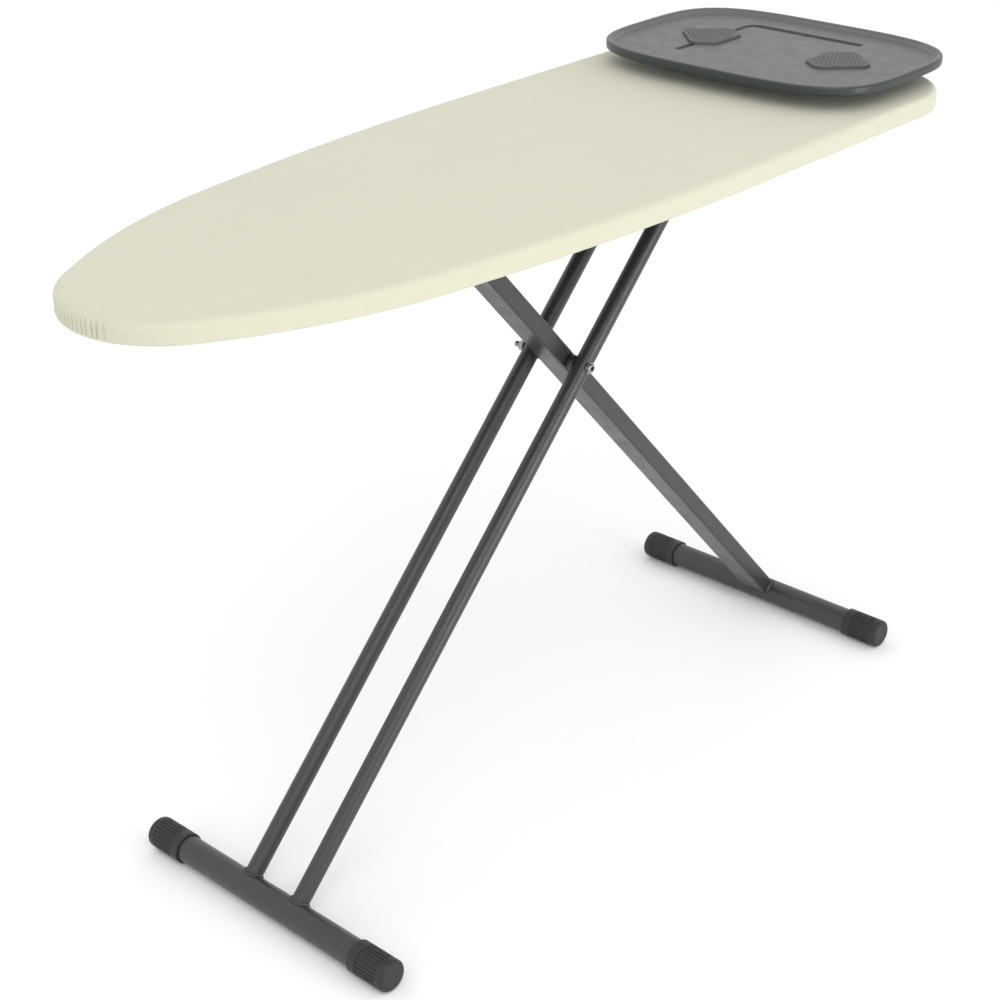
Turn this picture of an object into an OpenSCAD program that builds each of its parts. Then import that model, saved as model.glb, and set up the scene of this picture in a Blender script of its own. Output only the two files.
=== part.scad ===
// Full-size folding ironing board with an iron tray at its tail.
// +X points from the nose to the tail, +Y to the left side and +Z up. The floor is z = 0.

/* [Board] */
// Length of the board, from nose to tail
board_len = 1334; // [1300:1:1350]
// Widest part of the board
board_w = 498; // [480:1:510]
// Height of the cover's top above the floor
board_top = 889; // [885:1:892]
// Depth of the board's edge, from the cover's top to its hem
edge_h = 26; // [25:1:28]
// Radius of the nose
nose_r = 132; // [126:1:138]
// Radius of the shoulders beside the nose
mid_r = 685; // [660:5:700]
// Radius of the long curves that lead from the shoulders to the straight sides
side_r = 3480; // [3300:10:3600]
// Angle that each long curve turns through
side_turn = 8.42; // [8:0.1:9]
// Radius of the two tail corners
tail_r = 115; // [100:1:120]

/* [Layers] */
// Thickness of the cover's fabric
cover_t = 1; // [0.8:0.1:1.2]
// Thickness of the felt pad
pad_t = 8; // [6:0.5:9]
// Thickness of the steel top
sheet_t = 0.8; // [0.8:0.1:1]
// Diameter of the steam vents
vent_d = 14; // [8:1:18]
// Width of the hollow rim
rim_w = 10; // [8:1:12]

/* [Legs] */
// Distance from the nose to the front foot
front_inset = 183; // [170:1:200]
// Distance between the two feet
foot_gap = 1070; // [1060:1:1080]
// Slope of the front leg
front_angle = 45.4; // [45:0.1:46]
// Slope of the rear leg
rear_angle = 48.6; // [48:0.1:49]
// Diameter of the two front leg tubes
leg_d = 24; // [22:1:25]
// Distance from the middle to the centre of each front leg tube
leg_y = 44.3; // [43:0.1:46]
// Width of the rear leg tube across the board
rear_w = 46.6; // [44:0.2:48]
// Depth of the rear leg tube
rear_t = 24.4; // [22:0.2:26]
// Wall of all the steel tubes
tube_t = 1.5; // [1.2:0.1:2]

/* [Feet] */
// Diameter of the foot bars
bar_d = 37.2; // [36:0.2:38]
// Length of the front foot with its caps
front_foot_len = 450; // [430:1:460]
// Length of the rear foot with its caps
rear_foot_len = 462; // [440:1:470]
// Diameter of the end caps
cap_d = 43; // [42.4:0.2:44]
// Length of an end cap
cap_len = 62; // [55:1:70]
// Number of ribs around a cap
cap_ribs = 26; // [16:1:32]

/* [Tray] */
// Length of the tray across the board
tray_w = 460; // [440:1:470]
// Length of the tray along the board
tray_l = 317; // [300:1:325]
// How far the tray stands past the tail
tray_over = 36; // [30:1:45]
// Height of the tray's rim above the floor
tray_top = 924; // [920:1:930]
// Depth of the tray's skirt
skirt_h = 13; // [12:1:16]

/* [Hidden] */
$fn = 48;
e = 0.01;

// Board layout
nose_x = -(board_len + tray_over) / 2;
tail_x = nose_x + board_len;
half_w = board_w / 2;
nose_cx = nose_x + nose_r;
side_cy = side_r - half_w;
side_end = 90 + side_turn;
nose_turn = 180 - asin((side_cy - (side_r - mid_r) * sin(side_end)) / (mid_r - nose_r));
mid_cx = nose_cx - (mid_r - nose_r) * cos(nose_turn);
mid_cy = (mid_r - nose_r) * sin(nose_turn);
side_cx = mid_cx - (side_r - mid_r) * cos(side_end);
hem_z = board_top - edge_h;
sheet_z = board_top - cover_t - pad_t - 0.2 - sheet_t;
rim_z = hem_z + 2;
rim_in = cover_t + 1.5;
rib_z = hem_z + 5.6;

// Leg layout: the feet, the crossing, the hinge and the sliding rod
foot_z = cap_d / 2;
front_x = nose_x + front_inset;
rear_x = front_x + foot_gap;
pivot_x = front_x + foot_gap * tan(rear_angle) / (tan(front_angle) + tan(rear_angle));
pivot_z = foot_z + (pivot_x - front_x) * tan(front_angle);
hinge_z = board_top - 51;
hinge_x = pivot_x + (hinge_z - pivot_z) / tan(front_angle);
slide_z = board_top - 31;
slide_x = pivot_x - (slide_z - pivot_z) / tan(rear_angle);
slide_run = 222;
front_len = (hinge_z - foot_z) / sin(front_angle) + 15;
rear_len = (slide_z - foot_z) / sin(rear_angle) + 13;
bolt_d = 8;
rod_d = 10;
rail_y = 60;
rail_t = 2.5;
rivet_d = 4.8;
run_fit = 0.05;

// Latch layout: the brake turns about an axle that runs along the board
latch_y = -112;
latch_z = slide_z + 5;
brake_y = -73;
brake_from = slide_x - slide_run - 18;
brake_len = slide_run + 42;
latch_from = brake_from - 20;
latch_to = brake_from + brake_len + 30;

// Tray layout
tray_x = tail_x + tray_over - tray_l / 2;
floor_z = tray_top - 8;
floor_t = 3;
tray_wall = 3;
arm_y = 130;
arm_w = 25;
arm_t = 4;

module bar_y(d, from, to) {
  translate([0, from, 0]) rotate([-90, 0, 0]) cylinder(d = d, h = to - from);
}

module at_pivot() {
  translate([pivot_x, 0, pivot_z]) children();
}

module at_hinge() {
  translate([hinge_x, 0, hinge_z]) children();
}

module at_slide() {
  translate([slide_x, 0, slide_z]) children();
}

module mirror_y() {
  children();
  mirror([0, 1, 0]) children();
}

// ---- Board ----

// The plan view is arcs that meet in a tangent, and inset moves the whole edge inwards
function arc(cx, cy, r, from, to, first, n) = [for (i = [first:n])
  let (a = from + (to - from) * i / n) [cx + r * cos(a), cy + r * sin(a)]];

function left_edge(inset) = concat(
  arc(nose_cx, 0, nose_r - inset, 180, nose_turn, 0, 16),
  arc(mid_cx, -mid_cy, mid_r - inset, nose_turn, side_end, 1, 12),
  arc(side_cx, -side_cy, side_r - inset, side_end, 90, 1, 8),
  arc(tail_x - tail_r, half_w - tail_r, tail_r - inset, 90, 0, 0, 14));

module board_shape(inset) {
  left = left_edge(inset);
  right = [for (i = [len(left) - 1:-1:1]) [left[i].x, -left[i].y]];
  polygon(concat(left, right));
}

module slab(inset, z, h) {
  translate([0, 0, z]) linear_extrude(h) board_shape(inset);
}

module frame_loop(outer, inner, z, h) {
  difference() {
    slab(outer, z, h);
    slab(inner, z - 1, h + 2);
  }
}

module rim_loop() {
  wall = 1;
  difference() {
    frame_loop(rim_in, rim_in + rim_w, rim_z, sheet_z - rim_z);
    frame_loop(rim_in + wall, rim_in + rim_w - wall, rim_z + wall, sheet_z - rim_z - 2 * wall);
  }
}

module rim_part(from, to, low, high) {
  color("dimgray") intersection() {
    rim_loop();
    translate([from, low, rim_z - 1]) cube([to - from, high - low, edge_h]);
  }
}

module top_sheet() {
  color("silver") difference() {
    slab(rim_in, sheet_z, sheet_t);
    for (x = [-550:50:550]) {
      for (y = [-160:40:160]) {
        shift = (round(y / 40) % 2 == 0) ? 0 : 25;
        clear = x < -390 ? 95 : 165;
        if (abs(y) <= clear && abs(abs(y) - 80) > 1) {
          translate([x + shift, y, sheet_z - 1]) cylinder(d = vent_d, h = sheet_t + 2);
        }
      }
    }
  }
}

rim_split_nose = nose_x + nose_r;
rim_split_tail = tail_x - tail_r;

module rim_nose() {
  rim_part(nose_x, rim_split_nose, -half_w, half_w);
}

module rim_left() {
  rim_part(rim_split_nose, rim_split_tail, 0, half_w);
}

module rim_right() {
  rim_part(rim_split_nose, rim_split_tail, -half_w, 0);
}

module rim_tail() {
  rim_part(rim_split_tail, tail_x, -half_w, half_w);
}

// A hat-shaped rib between the two sides of the rim
module cross_rib(x, half_span) {
  h = sheet_z - rib_z;
  color("dimgray") difference() {
    translate([x - 15, -half_span, rib_z]) cube([30, 2 * half_span, h]);
    translate([x - 13.8, -half_span - 1, rib_z + 1.2]) cube([27.6, 2 * half_span + 2, h]);
  }
}

module cross_rib_nose() {
  cross_rib(nose_x + 215, half_w - 87);
}

module cross_rib_tail() {
  cross_rib(tail_x - 80, half_w - 30);
}

module felt_pad() {
  color("lightgray") slab(cover_t + 0.3, sheet_z + sheet_t + 0.1, pad_t);
}

// The cover wraps the edge, turns in under the rim and ends in a hem that holds an elastic
module cover() {
  color("beige") {
    slab(0, board_top - cover_t, cover_t);
    frame_loop(0, cover_t, hem_z, edge_h - cover_t + e);
    frame_loop(cover_t - e, 20, hem_z, cover_t);
    difference() {
      frame_loop(20 - e, 28, hem_z, 5);
      frame_loop(21, 27, hem_z + 1, 3);
    }
  }
}

module hem_elastic() {
  color("white") frame_loop(22, 26, hem_z + 1.4, 2);
}

// ---- Under the board ----

module rail_rivet_places() {
  for (i = [0:3]) {
    translate([slide_x + 12 - i * 82, rail_y + 12, sheet_z - rail_t]) children();
  }
}

module bracket_rivet_places() {
  for (dx = [-12, 12]) {
    translate([dx, leg_y + 29, sheet_z - hinge_z - 2.5]) children();
  }
}

module slide_rail(side) {
  from = slide_x - slide_run - 30;
  to = slide_x + 30;
  low = slide_z - 12;
  color("dimgray") scale([1, side, 1]) difference() {
    union() {
      translate([from, rail_y, low]) cube([to - from, rail_t, sheet_z - low]);
      translate([from, rail_y, sheet_z - rail_t]) cube([to - from, 20, rail_t]);
    }
    hull() {
      translate([slide_x + 2, rail_y - 1, slide_z]) bar_y(rod_d + 4, 0, rail_t + 2);
      translate([slide_x - slide_run, rail_y - 1, slide_z]) bar_y(rod_d + 4, 0, rail_t + 2);
    }
    rail_rivet_places() cylinder(d = rivet_d + 2 * run_fit, h = 9, center = true);
  }
}

module slide_rail_left() {
  slide_rail(1);
}

module slide_rail_right() {
  slide_rail(-1);
}

// A U of folded steel that holds the top of one front leg tube
module hinge_bracket(side) {
  gap = leg_d / 2 + 1.2;
  plate = 2.5;
  top = sheet_z - hinge_z;
  color("dimgray") at_hinge() scale([1, side, 1]) difference() {
    union() {
      translate([-20, leg_y - gap - plate, 0]) cube([40, plate, top]);
      translate([-20, leg_y + gap, 0]) cube([40, plate, top]);
      bar_y(24, leg_y - gap - plate, leg_y - gap);
      bar_y(24, leg_y + gap, leg_y + gap + plate);
      translate([-20, leg_y - gap - plate, top - plate]) cube([40, 2 * (gap + plate), plate]);
      translate([-20, leg_y + gap, top - plate]) cube([40, 26, plate]);
    }
    bar_y(bolt_d, 0, 100);
    bracket_rivet_places() cylinder(d = rivet_d + 2 * run_fit, h = 9, center = true);
  }
}

module hinge_bracket_left() {
  hinge_bracket(1);
}

module hinge_bracket_right() {
  hinge_bracket(-1);
}

module hinge_pins() {
  reach = leg_d / 2 + 1.2 + 2.5;
  color("silver") mirror_y() at_hinge() {
    bar_y(bolt_d, leg_y - reach - 1.5, leg_y + reach + 1.5);
    bar_y(13, leg_y - reach - 2.2, leg_y - reach);
    bar_y(13, leg_y + reach, leg_y + reach + 2.2);
  }
}

module rivet(grip) {
  translate([0, 0, -1.6]) cylinder(d = 9, h = 1.6);
  cylinder(d = rivet_d, h = grip);
}

// Rivets that hold the rails and the hinge brackets to the steel top
module frame_rivets() {
  color("silver") mirror_y() {
    rail_rivet_places() rivet(rail_t);
    at_hinge() bracket_rivet_places() rivet(2.5);
  }
}

// ---- Latch ----

module latch_mount(x) {
  difference() {
    union() {
      translate([x - 3, latch_y, 0]) rotate([0, 90, 0]) cylinder(d = 14, h = 6);
      translate([x - 3, latch_y - 7, 0]) cube([6, 14, sheet_z - latch_z]);
    }
    translate([x - 4, latch_y, 0]) rotate([0, 90, 0]) cylinder(d = 6, h = 8);
  }
}

module latch_mounts() {
  color("dimgray") translate([0, 0, latch_z]) {
    latch_mount(latch_from);
    latch_mount(latch_to);
  }
}

module latch_axle() {
  color("silver") translate([latch_from - 8, latch_y, latch_z]) rotate([0, 90, 0]) {
    cylinder(d = 6, h = latch_to - latch_from + 16);
  }
}

// The space that the coil of the return spring fills
module latch_spring() {
  color("silver") translate([latch_to - 30, latch_y, latch_z]) rotate([0, 90, 0]) difference() {
    cylinder(d = 10.4, h = 24);
    translate([0, 0, -1]) cylinder(d = 7.4, h = 26);
  }
}

module latch_barrel(x, h) {
  translate([x, latch_y, 0]) rotate([0, 90, 0]) cylinder(d = 13, h = h);
}

// The brake plate: its pad lies along the sliding rod's path and grips the rod
module latch_plate() {
  color("silver") translate([0, 0, latch_z]) difference() {
    union() {
      latch_barrel(brake_from, 22);
      latch_barrel(brake_from + brake_len - 22, 22);
      translate([brake_from, latch_y - 1, 4.2]) cube([brake_len, 45, 2]);
      translate([slide_x - 90, latch_y - 30, 4.2]) cube([60, 31, 2]);
    }
    translate([brake_from - 1, latch_y, 0]) rotate([0, 90, 0]) {
      cylinder(r = 3 + run_fit, h = brake_len + 2);
    }
  }
}

module latch_pad() {
  color("black") translate([brake_from + 6, brake_y - 3.5, latch_z + 1.4]) {
    cube([brake_len - 12, 7, 2.8]);
  }
}

module latch_grip() {
  color("black") translate([slide_x - 95, latch_y - 76, latch_z]) difference() {
    union() {
      cube([70, 54, 8]);
      translate([0, 8, 0]) rotate([0, 90, 0]) cylinder(d = 16, h = 70);
    }
    translate([4.8, 45, 4.1]) cube([60.4, 12, 2.2]);
    translate([-1, 8, 0]) rotate([0, 90, 0]) cylinder(d = 9, h = 40);
  }
}

// ---- Iron tray ----

// A rectangle with bowed sides and large corners, after Lame's curve
module tray_shape(inset) {
  p = 2 / 3.7;
  polygon([for (i = [0:95]) let (a = i * 3.75 + 1.875, c = cos(a), s = sin(a))
    [(tray_l / 2 - inset) * sign(c) * pow(abs(c), p),
     (tray_w / 2 - inset) * sign(s) * pow(abs(s), p)]]);
}

module rest_shape(grow) {
  tip = 42 + grow;
  polygon([[-30 - grow, -40 - grow], [27 + grow, -40 - grow], [46 + grow, -14], [42 + grow, 2],
    [8 + grow, tip], [-5 - grow, tip], [-47 - grow, -4], [-47 - grow, -15]]);
}

module rest_place(side) {
  translate([tray_x + 4.5, side * 116, 0]) scale([1, side, 1]) children();
}

// The drip groove runs along the left side and then across the tail side
module groove() {
  end_x = tray_x + 108;
  translate([end_x - 190, 100, floor_z - 2]) cube([190, 12, 3]);
  translate([end_x - 18, -80, floor_z - 2]) cube([18, 192, 3]);
  translate([end_x - 9, -80, floor_z - 2]) cylinder(d = 18, h = 3);
}

module tray_shell() {
  color("dimgray") difference() {
    translate([tray_x, 0, tray_top - skirt_h]) linear_extrude(skirt_h) tray_shape(0);
    translate([tray_x, 0, tray_top - skirt_h - 1]) linear_extrude(skirt_h - 8 - floor_t + 1) {
      tray_shape(tray_wall);
    }
    translate([tray_x, 0, floor_z]) linear_extrude(20) tray_shape(13);
    translate([tray_x, 0, floor_z + 4]) linear_extrude(20) tray_shape(8);
    groove();
    for (side = [-1, 1]) {
      rest_place(side) translate([0, 0, floor_z - 1.5]) linear_extrude(9) rest_shape(0.15);
    }
    for (y = [-arm_y, arm_y], x = [-60, 60]) {
      translate([tray_x + x, y, floor_z - floor_t - 1]) cylinder(d = 3.6, h = 3.2);
    }
  }
}

// A silicone rest for the hot sole, with a grid of raised dots
module rest_pad(side) {
  color("gray") rest_place(side) {
    translate([0, 0, floor_z - 1.5]) linear_extrude(5.5) rest_shape(0);
    for (x = [-42:7:42], y = [-42:7:42]) {
      if (abs(x) + abs(y) * 0.9 < 40) {
        translate([x, y, floor_z + 4 - e]) cylinder(d1 = 4, d2 = 2.6, h = 1.2);
      }
    }
  }
}

module rest_pad_left() {
  rest_pad(1);
}

module rest_pad_right() {
  rest_pad(-1);
}

// A flat bar that runs under the tail, rises behind it and carries the tray
module tray_arm(y) {
  back = tail_x + 8;
  up = floor_z - floor_t - arm_t;
  color("dimgray") translate([0, y - arm_w / 2, 0]) difference() {
    union() {
      translate([back - 105, 0, hem_z - 4.6]) cube([105 + arm_t, arm_w, arm_t]);
      translate([back, 0, hem_z - 4.6]) cube([arm_t, arm_w, up + arm_t - hem_z + 4.6]);
      translate([tray_x - 90, 0, up]) cube([back - tray_x + 90 + arm_t, arm_w, arm_t]);
    }
    for (x = [-60, 60]) {
      translate([tray_x + x, arm_w / 2, up - 1]) cylinder(d = 4, h = arm_t + 2);
    }
    translate([tail_x - 80, arm_w / 2, hem_z - 6]) cylinder(d = 5.2, h = arm_t + 3);
  }
}

module tray_arm_left() {
  tray_arm(arm_y);
}

module tray_arm_right() {
  tray_arm(-arm_y);
}

module tray_screws() {
  color("silver") {
    for (y = [-arm_y, arm_y], x = [-60, 60]) {
      translate([tray_x + x, y, floor_z - floor_t - arm_t]) {
        translate([0, 0, -2.2]) cylinder(d = 8, h = 2.2);
        cylinder(d = 3.5, h = arm_t + 2);
      }
    }
  }
}

// Shoulder bolts that hang the two arms from the rib at the tail
module arm_bolts() {
  shoulder = rib_z - hem_z + 0.6;
  color("silver") for (y = [-arm_y, arm_y]) {
    translate([tail_x - 80, y, hem_z - 0.6]) {
      cylinder(d = 12, h = shoulder);
      translate([0, 0, -arm_t]) cylinder(d = 5, h = arm_t + shoulder);
      translate([0, 0, -arm_t - 3]) cylinder(d = 10, h = 3);
    }
  }
}

// ---- Front leg ----

module front_place(y) {
  translate([front_x, y, foot_z]) rotate([0, 90 - front_angle, 0]) children();
}

module rear_place() {
  translate([rear_x, 0, foot_z]) rotate([0, rear_angle - 90, 0]) children();
}

module leg_tube(side) {
  y = side * leg_y;
  color("dimgray") difference() {
    front_place(y) cylinder(d = leg_d, h = front_len);
    front_place(y) translate([0, 0, -1]) cylinder(d = leg_d - 2 * tube_t, h = front_len + 2);
    translate([front_x, 0, foot_z]) bar_y(bar_d, -300, 300);
    at_pivot() bar_y(bolt_d + 0.2, -100, 100);
    at_hinge() bar_y(bolt_d + 2 * run_fit, -100, 100);
  }
}

module leg_tube_left() {
  leg_tube(1);
}

module leg_tube_right() {
  leg_tube(-1);
}

module leg_plugs() {
  color("black") for (side = [-1, 1]) {
    front_place(side * leg_y) translate([0, 0, front_len]) {
      cylinder(d = leg_d, h = 2);
      translate([0, 0, -8]) cylinder(d = leg_d - 2 * tube_t - 0.2, h = 8 + e);
    }
  }
}

module foot_bar(x, len) {
  reach = len / 2 - 5;
  color("dimgray") translate([x, 0, foot_z]) difference() {
    bar_y(bar_d, -reach, reach);
    bar_y(bar_d - 2 * tube_t, -reach - 1, reach + 1);
  }
}

// A ribbed cup that is pushed over the end of a foot bar
module foot_cap(x, len, side) {
  round_r = 6;
  color("black") translate([x, 0, foot_z]) scale([1, side, 1]) translate([0, len / 2, 0]) {
    rotate([90, 0, 0]) difference() {
      rotate_extrude($fn = 72) difference() {
        union() {
          square([cap_d / 2 - round_r, cap_len]);
          translate([0, round_r]) square([cap_d / 2, cap_len - round_r]);
          intersection() {
            translate([cap_d / 2 - round_r, round_r]) circle(r = round_r);
            translate([cap_d / 2 - round_r, 0]) square([round_r, round_r]);
          }
        }
        translate([0, 5]) square([bar_d / 2 + 0.02, cap_len]);
      }
      for (i = [0:cap_ribs - 1]) {
        rotate([0, 0, i * 360 / cap_ribs]) translate([cap_d / 2 - 0.9, -1.1, 13]) {
          cube([3, 2.2, 36]);
        }
      }
    }
  }
}

module front_foot_bar() {
  foot_bar(front_x, front_foot_len);
}

// The beads where a leg meets its foot bar
module weld(x, leg_r) {
  difference() {
    intersection() {
      translate([x, 0, foot_z]) bar_y(bar_d + 5, -150, 150);
      children(0);
    }
    translate([x, 0, foot_z]) bar_y(bar_d, -200, 200);
    children(1);
  }
}

module front_welds() {
  color("dimgray") for (side = [-1, 1]) {
    weld(front_x, leg_d / 2) {
      front_place(side * leg_y) cylinder(d = leg_d + 5, h = 40);
      front_place(side * leg_y) cylinder(d = leg_d, h = 60);
    }
  }
}

module front_cap_left() {
  foot_cap(front_x, front_foot_len, 1);
}

module front_cap_right() {
  foot_cap(front_x, front_foot_len, -1);
}

// ---- Crossing ----

module pivot_bolt() {
  reach = leg_y + leg_d / 2;
  color("silver") at_pivot() {
    bar_y(bolt_d, -reach - 1.6, reach + 18);
    translate([0, -reach - 5, 0]) rotate([-90, 0, 0]) difference() {
      cylinder(d = 13, h = 3.4);
      translate([0, 0, -1]) cylinder(d = 6.9, h = 3.6, $fn = 6);
    }
  }
}

module pivot_nut() {
  reach = leg_y + leg_d / 2;
  color("silver") at_pivot() translate([0, reach + 2, 0]) rotate([-90, 0, 0]) difference() {
    cylinder(d = 14.6, h = 7, $fn = 6);
    translate([0, 0, -1]) cylinder(d = bolt_d, h = 9);
  }
}

module ring_y(outer, inner, from, to) {
  difference() {
    bar_y(outer, from, to);
    bar_y(inner, from - 1, to + 1);
  }
}

module pivot_washers() {
  reach = leg_y + leg_d / 2;
  color("silver") at_pivot() {
    ring_y(16, bolt_d + 0.2, reach + 0.4, reach + 2);
    ring_y(16, bolt_d + 0.2, -reach - 1.6, -reach - 0.1);
  }
}

// The round spacers that keep the rear leg clear of the front leg tubes
module pivot_spacers() {
  color("black") mirror_y() difference() {
    at_pivot() ring_y(21, bolt_d + 0.2, rear_w / 2 + 0.3, leg_y - leg_d / 2 + 2.4);
    front_place(leg_y) cylinder(d = leg_d + 2 * run_fit, h = front_len);
  }
}

module pivot_bush() {
  color("ivory") at_pivot() {
    ring_y(12 - 2 * run_fit, bolt_d + 2 * run_fit, -rear_w / 2, rear_w / 2);
  }
}

// ---- Rear leg ----

module rear_profile(w, t, r) {
  square([t - 2 * r, w], center = true);
  square([t, w - 2 * r], center = true);
  for (x = [-1, 1], y = [-1, 1]) {
    translate([x * (t / 2 - r), y * (w / 2 - r)]) circle(r = r, $fn = 32);
  }
}

module rear_leg_tube() {
  inner = 2 * tube_t;
  color("dimgray") difference() {
    rear_place() linear_extrude(rear_len) rear_profile(rear_w, rear_t, 3);
    rear_place() translate([0, 0, -1]) linear_extrude(rear_len + 2) {
      rear_profile(rear_w - inner, rear_t - inner, 1.5);
    }
    translate([rear_x, 0, foot_z]) bar_y(bar_d, -300, 300);
    at_pivot() bar_y(12, -100, 100);
    at_slide() bar_y(rod_d, -100, 100);
  }
}

module rear_plug() {
  inner = 2 * tube_t + 0.2;
  color("black") difference() {
    rear_place() translate([0, 0, rear_len]) {
      linear_extrude(2) rear_profile(rear_w, rear_t, 3);
      translate([0, 0, -6]) linear_extrude(6 + e) {
        rear_profile(rear_w - inner, rear_t - inner, 1.4);
      }
    }
    at_slide() bar_y(rod_d + 0.4, -100, 100);
  }
}

module rear_foot_bar() {
  foot_bar(rear_x, rear_foot_len);
}

module rear_welds() {
  color("dimgray") weld(rear_x, rear_t / 2) {
    rear_place() linear_extrude(40) rear_profile(rear_w + 5, rear_t + 5, 5);
    rear_place() linear_extrude(60) rear_profile(rear_w, rear_t, 3);
  }
}

module rear_cap_left() {
  foot_cap(rear_x, rear_foot_len, 1);
}

module rear_cap_right() {
  foot_cap(rear_x, rear_foot_len, -1);
}

// The rod that slides in the two rails while the legs fold
module slide_rod() {
  color("silver") at_slide() bar_y(rod_d, -82, 70);
}

module rod_caps() {
  color("black") at_slide() {
    difference() {
      bar_y(15, 65, 73);
      bar_y(rod_d, 60, 70);
    }
    difference() {
      bar_y(15, -85, -77);
      bar_y(rod_d, -82, -70);
    }
  }
}

top_sheet();
rim_nose();
rim_left();
rim_right();
rim_tail();
cross_rib_nose();
cross_rib_tail();
felt_pad();
cover();
hem_elastic();
slide_rail_left();
slide_rail_right();
hinge_bracket_left();
hinge_bracket_right();
hinge_pins();
frame_rivets();
tray_shell();
rest_pad_left();
rest_pad_right();
tray_arm_left();
tray_arm_right();
tray_screws();
arm_bolts();
latch_mounts();
latch_axle();
latch_spring();
latch_plate();
latch_pad();
latch_grip();
leg_tube_left();
leg_tube_right();
leg_plugs();
front_foot_bar();
front_welds();
front_cap_left();
front_cap_right();
pivot_bolt();
pivot_nut();
pivot_washers();
pivot_spacers();
pivot_bush();
rear_leg_tube();
rear_plug();
rear_foot_bar();
rear_welds();
rear_cap_left();
rear_cap_right();
slide_rod();
rod_caps();
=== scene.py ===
import math
import random

import bmesh
import bpy
from mathutils import Matrix, Vector, noise
from mathutils.geometry import delaunay_2d_cdt


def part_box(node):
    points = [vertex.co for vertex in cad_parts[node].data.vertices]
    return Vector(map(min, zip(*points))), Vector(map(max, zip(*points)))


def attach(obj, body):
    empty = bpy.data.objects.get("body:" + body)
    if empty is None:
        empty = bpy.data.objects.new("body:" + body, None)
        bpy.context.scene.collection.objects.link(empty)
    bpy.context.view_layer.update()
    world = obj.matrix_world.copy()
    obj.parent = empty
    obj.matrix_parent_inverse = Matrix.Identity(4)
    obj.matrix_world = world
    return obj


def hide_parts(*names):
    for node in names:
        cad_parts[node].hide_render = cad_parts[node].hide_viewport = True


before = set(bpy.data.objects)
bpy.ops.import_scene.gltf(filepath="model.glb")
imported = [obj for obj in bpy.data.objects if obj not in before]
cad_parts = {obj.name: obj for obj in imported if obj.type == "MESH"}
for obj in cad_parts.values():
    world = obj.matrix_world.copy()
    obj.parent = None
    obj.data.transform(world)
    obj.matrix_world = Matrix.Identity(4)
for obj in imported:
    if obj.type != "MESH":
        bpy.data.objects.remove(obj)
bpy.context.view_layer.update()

MM = 0.001


# ---- Camera ----

def make_camera():
    azimuth, elevation, roll = (math.radians(a) for a in (42.89, -27.05, -1.02))
    forward = Vector((math.cos(elevation) * math.cos(azimuth),
                      math.cos(elevation) * math.sin(azimuth),
                      math.sin(elevation)))
    side = forward.cross(Vector((0, 0, 1))).normalized()
    up = side.cross(forward)
    right = math.cos(roll) * side + math.sin(roll) * up
    top = math.cos(roll) * up - math.sin(roll) * side
    data = bpy.data.cameras.new("camera")
    data.sensor_width = 36
    data.lens = 71.59
    data.shift_x = -0.0028
    data.shift_y = -0.0081
    data.clip_end = 60
    camera = bpy.data.objects.new("camera", data)
    bpy.context.scene.collection.objects.link(camera)
    turn = Matrix((right, top, -forward)).transposed().to_4x4()
    camera.matrix_world = Matrix.Translation((-1.7873, -1.6148, 1.6464)) @ turn
    bpy.context.scene.camera = camera


make_camera()


# ---- Materials ----

# Socket numbers of a colour mix node, whose sockets for other types share the same names
MIX_FIRST, MIX_SECOND, MIX_RESULT = 6, 7, 2


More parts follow.
